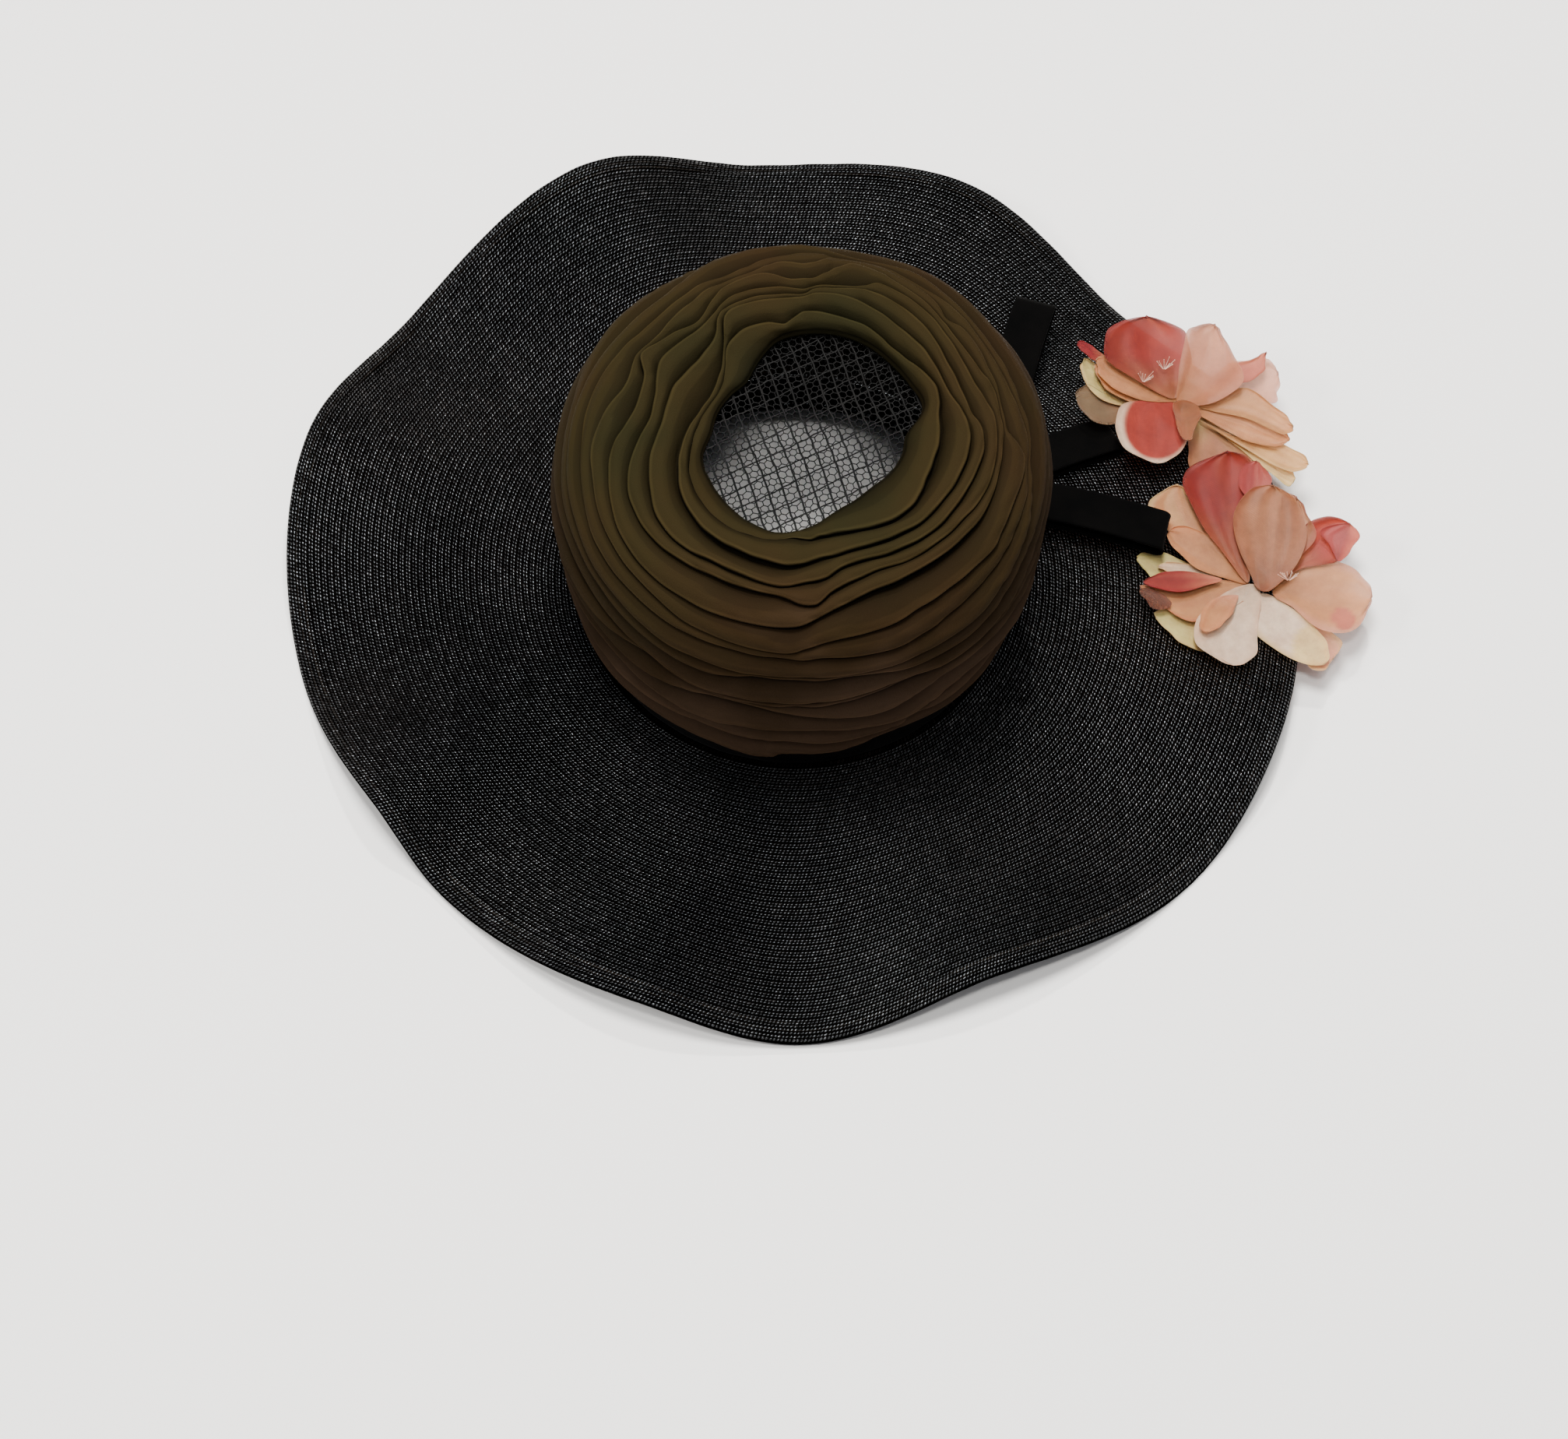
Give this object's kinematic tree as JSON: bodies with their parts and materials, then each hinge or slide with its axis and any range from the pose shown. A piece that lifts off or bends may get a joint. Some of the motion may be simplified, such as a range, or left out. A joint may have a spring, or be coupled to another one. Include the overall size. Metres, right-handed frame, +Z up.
{
  "type": "wide-brimmed hat with a draped turban crown",
  "caption": "Wide waved straw brim, open net crown wound with folded chiffon, velvet ribbon band and bow, silk flowers at the edge.",
  "frame": {"origin": "on the surface that the hat stands on, under the middle of its outline", "axes": "+Z up through the crown, +X to the wearer's right where the flowers are, +Y to the front"},
  "size_m": [0.495, 0.4594, 0.1582],
  "materials": {
    "straw": "black sewn straw braid with a dull gloss",
    "net": "stiff black hexagonal net with thicker crossing threads",
    "chiffon": "matt olive brown chiffon in soft folds",
    "velvet": "black velvet pile",
    "stem": "thread wound stem",
    "stamens": "waxed thread with small heads",
    "rose_silk": "dyed organza silk, deep rose",
    "blush_silk": "dyed organza silk, blush",
    "beige_silk": "dyed organza silk, beige to taupe",
    "cream_silk": "silk, cream to pale green"
  },
  "bodies": {
    "root": {"bow_knot": "velvet", "bow_loop_lower": "velvet", "bow_loop_middle": "velvet", "bow_loop_upper": "velvet", "brim": "straw", "brim_edge": "straw", "crown_drape": "chiffon", "crown_net": "net", "flower_a_petal_beige": "beige_silk", "flower_a_petal_blush": "blush_silk", "flower_a_petal_coral": "rose_silk", "flower_a_petal_cream": "cream_silk", "flower_a_petal_crimson": "rose_silk", "flower_a_petal_ivory": "cream_silk", "flower_a_petal_pale": "blush_silk", "flower_a_petal_peach": "beige_silk", "flower_a_petal_rose": "rose_silk", "flower_a_petal_smoke": "beige_silk", "flower_a_petal_straw": "beige_silk", "flower_a_petal_taupe": "beige_silk", "flower_a_stamens": "stamens", "flower_a_stem": "stem", "flower_b_petal_apricot": "blush_silk", "flower_b_petal_blush": "blush_silk", "flower_b_petal_cream": "cream_silk", "flower_b_petal_curl": "rose_silk", "flower_b_petal_lime": "cream_silk", "flower_b_petal_mint": "cream_silk", "flower_b_petal_peach": "beige_silk", "flower_b_petal_pink": "rose_silk", "flower_b_petal_rose": "rose_silk", "flower_b_petal_salmon": "blush_silk", "flower_b_petal_shell": "blush_silk", "flower_b_petal_sliver": "rose_silk", "flower_b_petal_taupe": "beige_silk", "flower_b_petal_veil": "blush_silk", "flower_b_petal_white": "cream_silk", "flower_b_stamens": "stamens", "flower_b_stem": "stem", "velvet_band": "velvet"}
  },
  "joints": []
}
